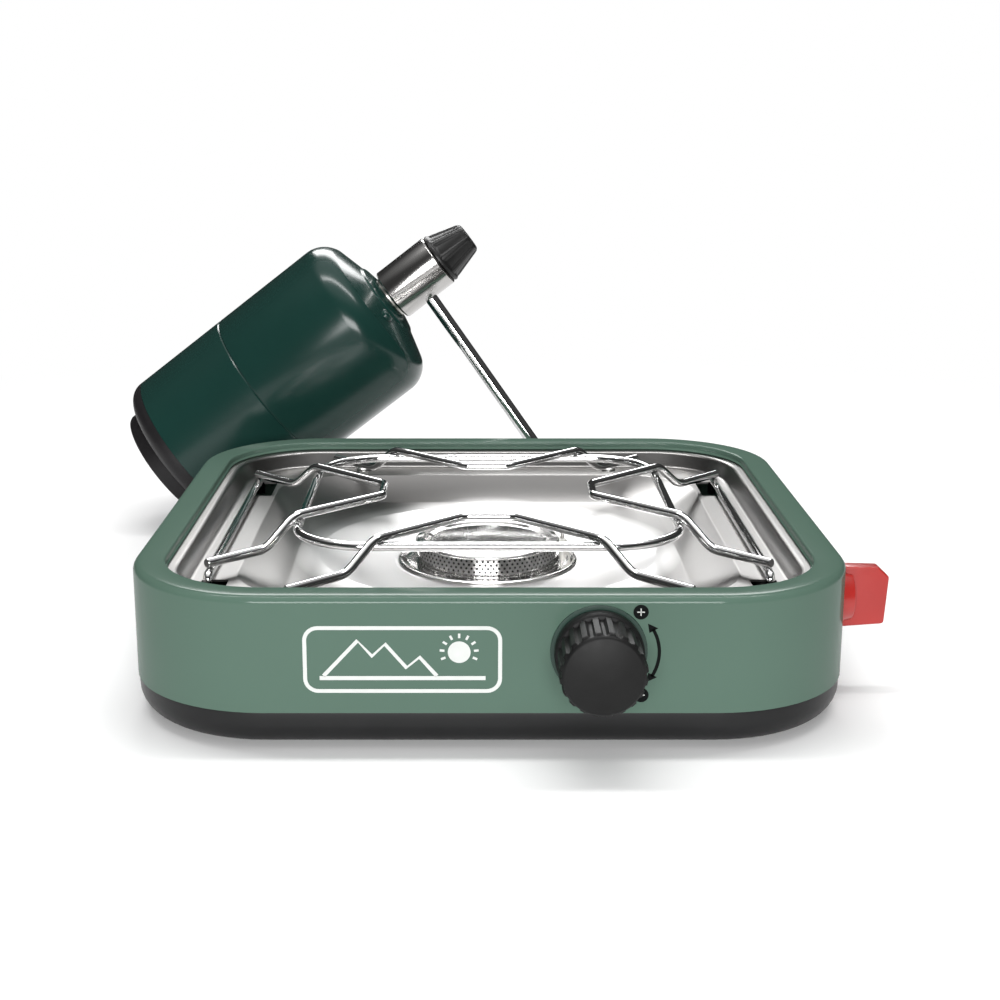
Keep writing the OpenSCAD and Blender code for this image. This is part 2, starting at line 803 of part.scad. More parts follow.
module pipe_nut() {
    color(steel) on_inlet_axis(back_y + 4.4) difference() {
        union() {
            cylinder(h = 9, r = 8.5);
            translate([0, 0, 9]) cylinder(h = 2.5, r1 = 8.5, r2 = 5);
        }
        translate([0, 0, -1]) cylinder(h = 3, r = spigot_r);
        translate([0, 0, -1]) cylinder(h = 14, r = pipe_r);
    }
}

module regulator_grip() {
    top_u = reg_u + reg_len;
    flats = 8;
    long = grip_u - top_u - 2.4;
    color(black) on_bottle_axis(top_u + 0.4) difference() {
        union() {
            cylinder(h = 2, r = 15);
            difference() {
                translate([0, 0, 2]) cylinder(h = long, r1 = 14.4, r2 = 8.8);
                for (i = [0:flats - 1]) rotate([0, 0, 360 / flats * i])
                    translate([13.7, -8, 1]) rotate([0, -15.5, 0]) cube([6, 16, 40]);
            }
        }
        translate([0, 0, -1]) cylinder(h = 12, r = 4);
    }
}

module grip_spindle() {
    top_u = reg_u + reg_len;
    color(steel) on_bottle_axis(top_u - 4) cylinder(h = 14, r = 4);
}

upper_housing();
base_tray();
rubber_feet();
base_screws();
base_brackets();
drip_pan();
pan_screws();
pan_brackets();
burner_bowl();
burner_retainer();
burner_drum();
burner_cap();
burner_bolt();
mixing_tube();
gas_jet();
valve_body();
valve_nut();
knob_bezel();
stem_seal();
gas_tube();
inlet_fitting();
inlet_nut();
inlet_seal();
igniter_body();
igniter_nut();
igniter_spring();
ignition_wire();
electrode();
electrode_insulator();
control_knob();
valve_stem();
igniter_knob();
igniter_shaft();
grate_wire_front();
grate_wire_back();
grate_wire_left();
grate_wire_right();
grate_ring();
grate_rod_left();
grate_rod_right();
regulator_body();
supply_pipe();
pipe_nut();
regulator_diaphragm();
regulator_spring();
regulator_pin();
regulator_gasket();
regulator_grip();
grip_spindle();
cylinder_upper();
cylinder_lower();
cylinder_base();
cylinder_neck();
cylinder_valve();
relief_valve();
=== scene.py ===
"""Single-burner camping stove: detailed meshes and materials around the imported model.

Shapes are worked out in millimetres, in the frame's axes, and scaled to metres in solid().
"""

import json
from math import atan2, cos, pi, radians, sin, sqrt, tan

import bmesh
import bpy
from mathutils import Matrix, Vector


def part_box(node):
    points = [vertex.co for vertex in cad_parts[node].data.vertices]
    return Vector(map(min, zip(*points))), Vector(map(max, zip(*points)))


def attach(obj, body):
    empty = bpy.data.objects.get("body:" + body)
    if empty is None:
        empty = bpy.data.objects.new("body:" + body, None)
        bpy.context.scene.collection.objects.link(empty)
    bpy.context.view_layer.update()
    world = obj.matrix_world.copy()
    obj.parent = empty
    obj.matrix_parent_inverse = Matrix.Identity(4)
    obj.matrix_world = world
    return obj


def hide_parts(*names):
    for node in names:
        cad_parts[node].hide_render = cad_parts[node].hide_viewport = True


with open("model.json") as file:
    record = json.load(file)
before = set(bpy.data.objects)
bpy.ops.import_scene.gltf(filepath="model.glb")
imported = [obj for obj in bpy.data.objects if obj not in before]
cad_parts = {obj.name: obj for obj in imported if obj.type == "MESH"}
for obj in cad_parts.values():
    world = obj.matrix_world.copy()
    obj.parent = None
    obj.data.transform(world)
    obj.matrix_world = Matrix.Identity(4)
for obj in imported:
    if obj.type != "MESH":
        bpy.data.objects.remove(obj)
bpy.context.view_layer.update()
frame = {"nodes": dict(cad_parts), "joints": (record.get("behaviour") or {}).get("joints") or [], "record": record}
MM = 0.001


def corners(node):
    """Lowest and highest corner of a CAD node, in millimetres."""
    low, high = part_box(node)
    return Vector(low) / MM, Vector(high) / MM


# ---- Sizes from the frame, in millimetres ----

JOINTS = {joint["name"]: joint for joint in frame["joints"]}
HOUSING_LOW, HOUSING_HIGH = corners("upper_housing")
HALF_W, HALF_D = HOUSING_HIGH.x, HOUSING_HIGH.y
FRONT, BACK, SIDE = -HALF_D, HALF_D, HALF_W
RIM = HOUSING_HIGH.z
JOINT_Z = HOUSING_LOW.z
CORNER = 58
RIM_WIDTH = 13
SHELF = RIM - 11.8
DISH = corners("burner_bowl")[1].z - 1.2
DRUM_LOW, DRUM_HIGH = corners("burner_drum")[0].z, corners("burner_drum")[1].z
CAP_TOP = corners("burner_cap")[1].z
CAP_R = corners("burner_cap")[1].x
KNOB_AT = Vector(JOINTS["knob_turn"]["pos_m"]) / MM
KNOB_FRONT, KNOB_BACK = corners("control_knob")[0].y, corners("control_knob")[1].y
IGNITER_AT = Vector(JOINTS["igniter_turn"]["pos_m"]) / MM
IGNITER_REACH = corners("igniter_knob")[1].x - SIDE
PAN_SCREW_X, PAN_SCREW_Y = 65, BACK - 28
WIRE_R = (corners("grate_ring")[1].z - corners("grate_ring")[0].z) / 2
RING_Z = (corners("grate_ring")[1].z + corners("grate_ring")[0].z) / 2
RING_HALF = corners("grate_ring")[1].x - WIRE_R
HIGH_Z = corners("grate_wire_front")[1].z - WIRE_R
LOW_Z = corners("grate_wire_front")[0].z + WIRE_R
ROD_X = corners("grate_rod_right")[0].x + WIRE_R
ROD_Y = corners("grate_rod_right")[1].y - WIRE_R
ROD_Z = corners("grate_rod_right")[1].z - WIRE_R
ROD_FOOT = corners("grate_rod_right")[0].z
SEAM = Vector(JOINTS["cylinder_unscrew"]["pos_m"]) / MM
AXIS = Vector(JOINTS["cylinder_unscrew"]["axis"]).normalized()
BOTTLE_R = corners("cylinder_upper")[1].y - SEAM.y
INLET_X = (corners("inlet_nut")[0].x + corners("inlet_nut")[1].x) / 2
INLET_Z = (corners("inlet_nut")[0].z + corners("inlet_nut")[1].z) / 2

# Bottle pieces are made along their own Z axis and laid on the bottle's axis.
ON_BOTTLE = Matrix.Translation(SEAM * MM) @ Vector((0, 0, 1)).rotation_difference(AXIS).to_matrix().to_4x4()
# Local Z of these points out of the face that the control sits on.
ON_KNOB = (Matrix.Translation(Vector((KNOB_AT.x, FRONT, KNOB_AT.z)) * MM)
           @ Matrix.Rotation(pi / 2, 4, "X"))
ON_IGNITER = (Matrix.Translation(Vector((SIDE, IGNITER_AT.y, IGNITER_AT.z)) * MM)
              @ Matrix.Rotation(pi / 2, 4, "Y"))


# ---- Materials ----

def ramp(tree, source, low, high, start=0.3, stop=0.7):
    node = tree.nodes.new("ShaderNodeValToRGB")
    node.color_ramp.elements[0].position = start
    node.color_ramp.elements[1].position = stop
    node.color_ramp.elements[0].color = (*low, 1)
    node.color_ramp.elements[1].color = (*high, 1)
    tree.links.new(source, node.inputs["Fac"])
    return node.outputs["Color"]


def noise(tree, size, stretch=(1, 1, 1), detail=3.0, tilt=0.0):
    """Noise whose features are size millimetres, stretched along axes that are tilted about Y."""
    turn = tree.nodes.new("ShaderNodeMapping")
    turn.inputs["Rotation"].default_value = (0, tilt, 0)
    tree.links.new(tree.nodes["Texture Coordinate"].outputs["Object"], turn.inputs["Vector"])
    place = tree.nodes.new("ShaderNodeMapping")
    place.inputs["Scale"].default_value = stretch
    tree.links.new(turn.outputs["Vector"], place.inputs["Vector"])
    node = tree.nodes.new("ShaderNodeTexNoise")
    node.inputs["Scale"].default_value = 1 / (size * MM)
    node.inputs["Detail"].default_value = detail
    tree.links.new(place.outputs["Vector"], node.inputs["Vector"])
    return node.outputs["Fac"]


def finish(name, color, rough, metal=0.0, coat=0.0, mottle=0.08, patch=18, vary=0.06,
           grain=0.9, stretch=(1, 1, 1), bump=0.02, speckle=0.0, specular=0.5, tilt=0.0, coat_rough=0.06):
    """A procedural finish: patchy colour, uneven gloss, and a fine grain in the surface."""
    made = bpy.data.materials.new(name)
    made.use_nodes = True
    tree = made.node_tree
    shader = tree.nodes["Principled BSDF"]
    tree.nodes.new("ShaderNodeTexCoord")
    shader.inputs["Metallic"].default_value = metal
    shader.inputs["Coat Weight"].default_value = coat
    shader.inputs["Coat Roughness"].default_value = coat_rough
    shader.inputs["Specular IOR Level"].default_value = specular
    dark = [c * (1 - mottle) for c in color]
    light = [min(1, c * (1 + mottle)) for c in color]
    tint = ramp(tree, noise(tree, patch), dark, light)
    if speckle:
        mix = tree.nodes.new("ShaderNodeMix")
        mix.data_type = "RGBA"
        mix.blend_type = "MULTIPLY"
        mix.inputs["Factor"].default_value = 1
        tree.links.new(tint, mix.inputs["A"])
        spots = ramp(tree, noise(tree, grain, stretch, 5, tilt), (1 - speckle,) * 3, (1, 1, 1))
        tree.links.new(spots, mix.inputs["B"])
        tint = mix.outputs["Result"]
    tree.links.new(tint, shader.inputs["Base Color"])
    gloss = tree.nodes.new("ShaderNodeMapRange")
    gloss.inputs["To Min"].default_value = max(0.02, rough - vary)
    gloss.inputs["To Max"].default_value = min(1, rough + vary)
    tree.links.new(noise(tree, grain * 4, stretch, tilt=tilt), gloss.inputs["Value"])
    tree.links.new(gloss.outputs["Result"], shader.inputs["Roughness"])
    bumps = tree.nodes.new("ShaderNodeBump")
    bumps.inputs["Strength"].default_value = 0.4
    bumps.inputs["Distance"].default_value = bump * MM
    tree.links.new(noise(tree, grain, stretch, 4, tilt), bumps.inputs["Height"])
    tree.links.new(bumps.outputs["Normal"], shader.inputs["Normal"])
    return made


AROUND = (1, 1, 30)
BOTTLE_TILT = -atan2(AXIS.x, AXIS.z)
FINISHES = {
    "housing_paint": dict(color=(0.082, 0.138, 0.107), rough=0.35, coat=0.4, coat_rough=0.12, mottle=0.015,
                          patch=60, vary=0.01, grain=0.8, bump=0.001, specular=0.0),
    "base_black": dict(color=(0.011, 0.011, 0.0115), rough=0.38, mottle=0.1, grain=0.7, bump=0.03,
                       specular=0.25),
    "foot_rubber": dict(color=(0.02, 0.02, 0.02), rough=0.75, bump=0.05),
    "zinc_screw": dict(color=(0.62, 0.62, 0.6), rough=0.3, metal=1, stretch=AROUND),
    "sheet_steel": dict(color=(0.5, 0.5, 0.49), rough=0.35, metal=1),
    "pan_steel": dict(color=(0.75, 0.745, 0.74), rough=0.3, metal=1, mottle=0.02, patch=25, vary=0.02,
                      grain=0.3, bump=0.0008, speckle=0.06),
    "burner_steel": dict(color=(0.85, 0.84, 0.83), rough=0.12, metal=1, mottle=0.02, vary=0.02,
                         grain=0.4, stretch=AROUND, bump=0.0006),
    "brass": dict(color=(0.72, 0.53, 0.25), rough=0.25, metal=1, stretch=AROUND),
    "seal_rubber": dict(color=(0.02, 0.02, 0.02), rough=0.6),
    # Painted shade: a much darker copy of the housing green, for the ring round the knob.
    "bezel_dark": dict(color=(0.006, 0.03, 0.02), rough=0.3),
    "piezo_plastic": dict(color=(0.05, 0.05, 0.05), rough=0.5),
    "spring_steel": dict(color=(0.55, 0.55, 0.55), rough=0.25, metal=1),
    "lead_sleeve": dict(color=(0.04, 0.04, 0.04), rough=0.5),
    "electrode_metal": dict(color=(0.6, 0.58, 0.56), rough=0.3, metal=1),
    "ceramic_white": dict(color=(0.8, 0.79, 0.75), rough=0.18, mottle=0.04, coat=0.4),
    "knob_black": dict(color=(0.007, 0.007, 0.007), rough=0.5, specular=0.2, mottle=0.12, patch=6,
                       grain=0.5, bump=0.02),
    "igniter_red": dict(color=(0.38, 0.02, 0.016), rough=0.32, coat=0.2, mottle=0.06, grain=0.8),
    "chrome_wire": dict(color=(0.86, 0.86, 0.86), rough=0.07, metal=1, mottle=0.03, patch=14, vary=0.01,
                        grain=0.6, bump=0.0006),
    "regulator_steel": dict(color=(0.5, 0.49, 0.48), rough=0.16, metal=1, mottle=0.02, vary=0.01,
                            grain=0.5, stretch=(1, 1, 0.05), bump=0.0008, speckle=0.05, tilt=BOTTLE_TILT),
    "grip_black": dict(color=(0.01, 0.01, 0.01), rough=0.4, specular=0.35, mottle=0.12, patch=6,
                       grain=0.5, bump=0.03),
    "cylinder_paint": dict(color=(0.008, 0.034, 0.028), rough=0.2, mottle=0.04, patch=30,
                           vary=0.02, grain=1.5, bump=0.006, specular=0.35),
    "cylinder_black": dict(color=(0.013, 0.012, 0.013), rough=0.42, specular=0.25, mottle=0.1,
                           grain=0.8, bump=0.03),
    "neck_steel": dict(color=(0.45, 0.45, 0.42), rough=0.28, metal=1, stretch=AROUND, tilt=BOTTLE_TILT),
    "print_white": dict(color=(0.6, 0.62, 0.6), rough=0.45, mottle=0.03, patch=4, grain=0.4, bump=0.01),
    "print_black": dict(color=(0.002, 0.003, 0.003), rough=0.45, specular=0.08, mottle=0.1, patch=4,
                        grain=0.4, bump=0.01),
}
MATERIALS = {name: finish(name, **values) for name, values in FINISHES.items()}
# Where the pan's dish ends, in metres from the middle, and the painted shade that darkens the shelf and slopes
# outside it: a darker base colour standing in for dimmer reflections, not a different steel.
DISH_EDGE = (0.079, 0.09)
PAINTED_PAN_SHADE = (0.32, 0.315, 0.31)


def length_of(tree, vector):
    away = tree.nodes.new("ShaderNodeVectorMath")
    away.operation = "LENGTH"
    tree.links.new(vector, away.inputs[0])
    return away.outputs["Value"]


def paint_shade_around_dish():
    """Painted reflection and shade: the shelf and slopes around the pan's round dish get a darker base colour, so
    the dish reads brighter; the steel is the same.
    """
    tree = MATERIALS["pan_steel"].node_tree
    shader = tree.nodes["Principled BSDF"]
    flat = tree.nodes.new("ShaderNodeVectorMath")
    flat.operation = "MULTIPLY"
    flat.inputs[1].default_value = (1, 1, 0)
    tree.links.new(tree.nodes["Texture Coordinate"].outputs["Object"], flat.inputs[0])
    # Painted shade: the base colour is multiplied down outside the dish.
    painted_shade = ramp(tree, length_of(tree, flat.outputs["Vector"]), (1, 1, 1), PAINTED_PAN_SHADE, *DISH_EDGE)
    mix = tree.nodes.new("ShaderNodeMix")
    mix.data_type = "RGBA"
    mix.blend_type = "MULTIPLY"
    mix.inputs["Factor"].default_value = 1
    tree.links.new(shader.inputs["Base Color"].links[0].from_socket, mix.inputs["A"])
    tree.links.new(painted_shade, mix.inputs["B"])
    tree.links.new(mix.outputs["Result"], shader.inputs["Base Color"])


paint_shade_around_dish()


# ---- Mesh making ----

def arc(cx, cy, radius, start, stop, steps=8):
    turns = [radians(start + (stop - start) * i / steps) for i in range(steps + 1)]
    return [(cx + radius * cos(a), cy + radius * sin(a)) for a in turns]


def softened(points, radius, closed=True, steps=4):
    """A path with each corner rounded to the radius, or less where its sides are short.

    radius may be a list with one value a point."""
    points = [Vector(p) for p in points]
    made = []
    count = len(points)
    radii = radius if isinstance(radius, list) else [radius] * count
    for i, here in enumerate(points):
        if not closed and i in (0, count - 1):
            made.append(here)
            continue
        before, after = here - points[i - 1], points[(i + 1) % count] - here
        turn = before.angle(after, 0)
        if turn < 0.05:
            made.append(here)
            continue
        back = min(radii[i] * tan(turn / 2), before.length * 0.45, after.length * 0.45)
        first, last = here - before.normalized() * back, here + after.normalized() * back
        for k in range(steps + 1):
            t = k / steps
            made.append(first * (1 - t) ** 2 + here * (2 * t * (1 - t)) + last * t ** 2)
    return made


def loft(rings, joined=False, capped=False):
    """Faces between rings of equal length. joined closes the last ring to the first."""
    count = len(rings[0])
    verts = [tuple(p) for ring in rings for p in ring]
    faces = []
    for i in range(len(rings) if joined else len(rings) - 1):
        a, b = i * count, (i + 1) % len(rings) * count
        faces += [(a + k, a + (k + 1) % count, b + (k + 1) % count, b + k) for k in range(count)]
    if capped:
        faces.append(tuple(reversed(range(count))))
        faces.append(tuple(range((len(rings) - 1) * count, len(rings) * count)))
    return verts, faces


def circle(radius, height, sides=96, centre=(0, 0)):
    turns = [2 * pi * k / sides for k in range(sides)]
    return [(centre[0] + radius * cos(a), centre[1] + radius * sin(a), height) for a in turns]


def lathe(profile, radius=0.3, sides=96, closed=False, steps=3):
    """A profile of (radius, height) points turned about Z. An open one starts and ends on the axis."""
    points = softened(profile, radius, closed, steps)
    return loft([circle(r, z, sides) for r, z in points], joined=closed)


def outline(inset, half_x, half_y, corner, least=0.0, steps=16):
    """A rounded rectangle, set in by inset."""
    radius = max(corner - inset, least)
    points = []
    for quarter in range(4):
        cx = (half_x - inset - radius) * (1 if quarter in (0, 3) else -1)
        cy = (half_y - inset - radius) * (1 if quarter in (0, 1) else -1)
        points += arc(cx, cy, radius, 90 * quarter, 90 * quarter + 90, steps)
    return points


def around_body(profile):
    """Sweeps a closed profile of (inset, height) points around the body's outline."""
    return loft([[(x, y, z) for x, y in outline(i, HALF_W, HALF_D, CORNER)] for i, z in profile], joined=True)


def wire(points, radius, bend, sides=24, trim=0.3, steps=8):
    """A bent wire with trimmed ends."""
    path = softened(points, bend, closed=False, steps=steps)
    first, last = (path[1] - path[0]).normalized(), (path[-1] - path[-2]).normalized()
    stations = [(path[0], radius - trim), (path[0] + first * trim, radius)]
    stations += [(p, radius) for p in path[1:-1]]
    stations += [(path[-1] - last * trim, radius), (path[-1], radius - trim)]
    rings = []
    along = first
    side = along.orthogonal().normalized()
    for i, (at, size) in enumerate(stations):
        before = stations[max(i - 1, 0)][0]
        after = stations[min(i + 1, len(stations) - 1)][0]
        onward = (after - before).normalized()
        side = along.rotation_difference(onward) @ side
        along = onward
        up = along.cross(side)
        rings.append([at + (side * cos(a) + up * sin(a)) * size
                      for a in (2 * pi * k / sides for k in range(sides))])
    return loft(rings, capped=True)


def set_in(points, distance):
    """A closed outline moved inward by distance, with its points kept in step."""
    made = []
    for i, here in enumerate(points):
        ahead = (points[(i + 1) % len(points)] - points[i - 1]).normalized()
        made.append(here + Vector((-ahead.y, ahead.x)) * distance)
    return made


def slab(points, low, high, edge=0.3, corner=0.5, steps=3):
    """A flat plate with rounded edges, from an outline that runs anticlockwise."""
    path = softened([Vector(p) for p in points], corner) if corner else [Vector(p) for p in points]
    rings = [[(*p, low + edge - edge * cos(radians(90 * i / steps)))
              for p in set_in(path, edge - edge * sin(radians(90 * i / steps)))] for i in range(steps + 1)]
    rings += [[(*p, high - edge + edge * sin(radians(90 * i / steps)))
               for p in set_in(path, edge - edge * cos(radians(90 * i / steps)))] for i in range(steps + 1)]
    return loft(rings, capped=True)


def stroke(points, width, low, high, closed=False):
    """A raised line of even width along a flat path."""
    path = [Vector(p) for p in points]
    rings = []
    count = len(path)
    for i, here in enumerate(path):
        before = path[i - 1] if closed or i else here
        after = path[(i + 1) % count] if closed or i < count - 1 else here
        ahead = (after - before).normalized()
        side = Vector((-ahead.y, ahead.x)) * width / 2
        a, b = here + side, here - side
        rings.append([(*a, low), (*b, low), (*b, high), (*a, high)])
    return loft(rings, joined=closed, capped=not closed)


def joined(*parts):
    """Several meshes as one."""
    verts, faces = [], []
    for more_verts, more_faces in parts:
        start = len(verts)
        verts += more_verts
        faces += [tuple(k + start for k in face) for face in more_faces]
    return verts, faces


def moved(mesh, matrix):
    return [tuple(matrix @ Vector(v)) for v in mesh[0]], mesh[1]


def solid(name, body, slot, mesh, nodes=(), at=None, sharp=32):
    """A piece from vertices in millimetres, with its finish, its body and the nodes it stands for."""
    data = bpy.data.meshes.new(name)
    data.from_pydata([Vector(v) * MM for v in mesh[0]], [], mesh[1])
    if at is not None:
        data.transform(at)
    work = bmesh.new()
    work.from_mesh(data)
    bmesh.ops.remove_doubles(work, verts=work.verts, dist=2e-6)
    bmesh.ops.recalc_face_normals(work, faces=work.faces)
    work.to_mesh(data)
    work.free()
    data.shade_smooth()
    data.set_sharp_from_angle(angle=radians(sharp))
    piece = bpy.data.objects.new(name, data)
    bpy.context.scene.collection.objects.link(piece)
    data.materials.append(MATERIALS[slot])
    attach(piece, body)
    if nodes:
        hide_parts(*nodes)
    return piece


def cut(piece, cutters):
    """Takes closed meshes, in the frame's millimetres, out of a piece."""
    tools = []
    for verts, faces in cutters:
        data = bpy.data.meshes.new("cutter")
        data.from_pydata([Vector(v) * MM for v in verts], [], faces)
        work = bmesh.new()
        work.from_mesh(data)
        bmesh.ops.recalc_face_normals(work, faces=work.faces)
        work.to_mesh(data)
        work.free()
        tool = bpy.data.objects.new("cutter", data)
        bpy.context.scene.collection.objects.link(tool)
        change = piece.modifiers.new("cut", "BOOLEAN")
        change.operation = "DIFFERENCE"
        change.solver = "EXACT"
        change.object = tool
        tools.append(tool)
    bpy.context.view_layer.update()
    shaped = piece.evaluated_get(bpy.context.evaluated_depsgraph_get())
    data = bpy.data.meshes.new_from_object(shaped)
    piece.modifiers.clear()
    piece.data = data
    data.shade_smooth()
    data.set_sharp_from_angle(angle=radians(32))
    for tool in tools:
        bpy.data.objects.remove(tool)


# ---- Casing ----

def make_housing():
    """Pressed shell: a rounded shoulder, a flat rim, and a lip that turns down to a small bead."""
    shoulder, sheet, lip = 3.0, 1.5, RIM - 4
    bead = arc(RIM_WIDTH + 0.1, lip + 0.7, 0.7, 10, -170, 8)
    profile = [(0, JOINT_Z)] + [(shoulder - x, RIM - shoulder + z) for x, z in arc(0, 0, shoulder, 0, 90, 10)]
    profile += [(RIM_WIDTH - 1 + x, RIM - 1 + z) for x, z in arc(0, 0, 1, 90, 0, 6)]
    profile += [(RIM_WIDTH + 0.1, lip + 1.4)] + bead[1:-1] + [(RIM_WIDTH - 1.2, RIM - sheet)]
    profile += [(shoulder - x, RIM - shoulder + z) for x, z in arc(0, 0, shoulder - sheet, 90, 0, 6)]
    profile += [(sheet, JOINT_Z + 0.2), (sheet - 0.2, JOINT_Z), (0.2, JOINT_Z)]
    shell = solid("upper_housing_shell", "stove", "housing_paint", around_body(profile), ["upper_housing"])
    holes = []
    for at in (ON_KNOB, ON_IGNITER, on_inlet()):
        holes.append(moved(loft([circle(6.2, -5, 48), circle(6.2, 5, 48)], capped=True), scaled(at)))
    cut(shell, holes)


def scaled(matrix):
    """A placement in metres as one in millimetres."""
    made = matrix.copy()
    made.translation = made.translation / MM
    return made


def on_inlet():
    return Matrix.Translation(Vector((INLET_X, BACK, INLET_Z)) * MM) @ Matrix.Rotation(-pi / 2, 4, "X")


def make_base():
    """Moulded skirt under the shell, with a shadow groove at the joint."""
    low = corners("base_tray")[0].z
    bottom = 10.0
    profile = [(1.9, JOINT_Z + 4), (1.9, JOINT_Z - 0.2), (0.7, JOINT_Z - 0.2), (0.55, JOINT_Z - 0.9)]
    profile += [(11.2 - x, low + bottom + z) for x, z in arc(0, 0, 10.65, 0, -90, 12)]
    solid("base_skirt", "stove", "base_black",
          around_body([(max(i, 0.55), max(z, low)) for i, z in profile]
                      + [(15, low), (15, low + 1.9), (11.2, low + 1.9), (3.6, low + 9),
                         (3.6, JOINT_Z + 4)]))


# ---- Pan ----

def ray_length(angle, inset, least):
    """Distance from the middle to the body's outline, set in by inset."""
    c, s = abs(cos(angle)), abs(sin(angle))
    half_x, half_y = HALF_W - inset, HALF_D - inset
    radius = max(CORNER - inset, least)
    if half_x * s <= (half_y - radius) * c:
        return half_x / c
    if half_y * c <= (half_x - radius) * s:
        return half_y / s
    along = c * (half_x - radius) + s * (half_y - radius)
    off = (half_x - radius) ** 2 + (half_y - radius) ** 2
    return along + sqrt(along ** 2 - off + radius ** 2)


def pressed(x, y):
    """Height of the small pressed ridges beside the ring, on the pan's slope."""
    across = abs(abs(x) - 45.5) / 1.9
    length = min(abs(y) - 5, 30 - abs(y)) / 4
    if across >= 1 or length <= 0:
        return 0
    return 0.9 * (1 - across ** 2) ** 2 * min(1, length)


def make_pan():
    """Pressed pan: a rolled edge, a flat shelf, four folded slopes and a dished middle."""
    mid, dish_r, hole_r = RIM - 22, 80.0, 36.0
    path = [(12.4, RIM - 4.05)] + [(16 + x, RIM - 6.4 + z) for x, z in arc(0, 0, 2.4, 90, 20, 7)]
    path += softened([(19.6, SHELF + 4.4), (21.4, SHELF), (39.5, SHELF), (57, mid)], 2.2, False, 5)[1:]
    sides = 480
    turns = [2 * pi * k / sides for k in range(sides)]

    def ring(length, height, drop):
        made = []
        for a in turns:
            x, y = length(a) * cos(a), length(a) * sin(a)
            made.append((x, y, height + pressed(x, y) - drop))
        return made

    def rings(drop):
        made = [ring(lambda a, i=i: ray_length(a, i, 34), z, drop) for i, z in path]
        for k in range(1, 8):
            t = k / 7
            made.append(ring(lambda a: ray_length(a, 57, 34) * (1 - t) + dish_r * t, mid, drop))
        slope = softened([(dish_r + 4, mid), (dish_r - 2, mid), (43.5, DISH + 0.1), (hole_r, DISH)],
                         3, False, 5)
        flat = [p for p in slope[1:] if p[0] > 44]
        for (r0, z0), (r1, z1) in zip(flat, flat[1:]):
            pieces = max(1, int((r0 - r1) / 1.2))
            for k in range(pieces):
                t = k / pieces
                made.append(ring(lambda a: r0 + (r1 - r0) * t, z0 + (z1 - z0) * t, drop))
        made += [ring(lambda a: r, z, drop) for r, z in slope if r <= 44]
        return made

    pan = solid("drip_pan_pressing", "stove", "pan_steel",
                loft(rings(0) + rings(1.0)[::-1], joined=True), ["drip_pan"], sharp=40)
    slots = []
    for sx in (-1, 1):
        for sy, middle, half in ((-1, 87.5, 5), (1, 73, 14.5)):
            shape = outline(0, 5.5, half, 1.5, steps=4)
            slot = [[(x + sx * 113, y + sy * middle, z) for x, y in shape] for z in (SHELF - 6, SHELF + 6)]
            slots.append(loft(slot, capped=True))
            hole = [circle(1.7, z, 32, (sx * PAN_SCREW_X, sy * PAN_SCREW_Y)) for z in (SHELF - 6, SHELF + 6)]
            slots.append(loft(hole, capped=True))
    cut(pan, slots)


def make_pan_screws():
    """Pan-head screws with a cross recess, one mesh for all four."""
    head = lathe([(0, 0.7), (0.8, 0.8), (2.6, 1.9), (3.6, 1.1), (4.0, 0.1), (4.0, 0), (1.6, 0),
                  (1.6, -5), (0, -5)], 0.35, 40)
    parts = []
    for sx in (-1, 1):
        for sy in (-1, 1):
            parts.append(moved(head, Matrix.Translation((sx * PAN_SCREW_X, sy * PAN_SCREW_Y, SHELF))))
    solid("pan_screw_heads", "stove", "zinc_screw", joined(*parts), ["pan_screws"])


# ---- Burner ----

def make_bowl():
    profile = [(5.2, 14), (29.5, 14), (34.5, 19), (34.5, DISH + 0.05), (41.5, DISH + 0.05),
               (41.6, DISH + 0.9), (40.6, DISH + 1.55), (39.6, DISH + 1.1), (37.5, DISH + 0.7),
               (33.3, DISH + 0.9), (33.3, 19.5),
               (29, 15.2), (5.2, 15.2)]
    solid("burner_bowl_spun", "stove", "burner_steel", lathe(profile, 0.6, 128, True, 4), ["burner_bowl"])


def make_drum():
    """Thin wall with five staggered rows of round ports."""
    rows, columns, wall = 5, 84, 0.6
    pitch = (DRUM_HIGH - DRUM_LOW) / rows
    hole = 0.34
    # One row's height in column widths, so that the ports come out round.
    squeeze = pitch * columns / (2 * pi * 33)

    def wall_point(column, row, depth):
        a = 2 * pi * column / columns
        z = DRUM_LOW + row * pitch
        r = 33.4 - (z - DRUM_LOW) * 0.1 - depth
        return (r * cos(a), r * sin(a), z)

    verts, faces = [], []
    for row in range(rows):
        for column in range(columns):
            middle = column + 0.5 * (row % 2)
            start = len(verts)
            for depth in (0, wall):
                for k in range(8):
                    a = pi / 4 * k
                    reach = 0.5 / max(abs(cos(a)), abs(sin(a)))
                    verts.append(wall_point(middle + reach * cos(a), row + 0.5 + reach * sin(a), depth))
                for k in range(8):
                    a = pi / 4 * k
                    across, up = hole * cos(a) * squeeze, hole * sin(a)
                    verts.append(wall_point(middle + across, row + 0.5 + up, depth))
            for k in range(8):
                n = (k + 1) % 8
                faces.append((start + k, start + n, start + 8 + n, start + 8 + k))
                faces.append((start + 16 + n, start + 16 + k, start + 24 + k, start + 24 + n))
                faces.append((start + 8 + k, start + 8 + n, start + 24 + n, start + 24 + k))
                if (row == 0 and k in (5, 6)) or (row == rows - 1 and k in (1, 2)):
                    faces.append((start + k, start + n, start + 16 + n, start + 16 + k))
    solid("burner_drum_perforated", "stove", "burner_steel", (verts, faces), ["burner_drum"], sharp=60)


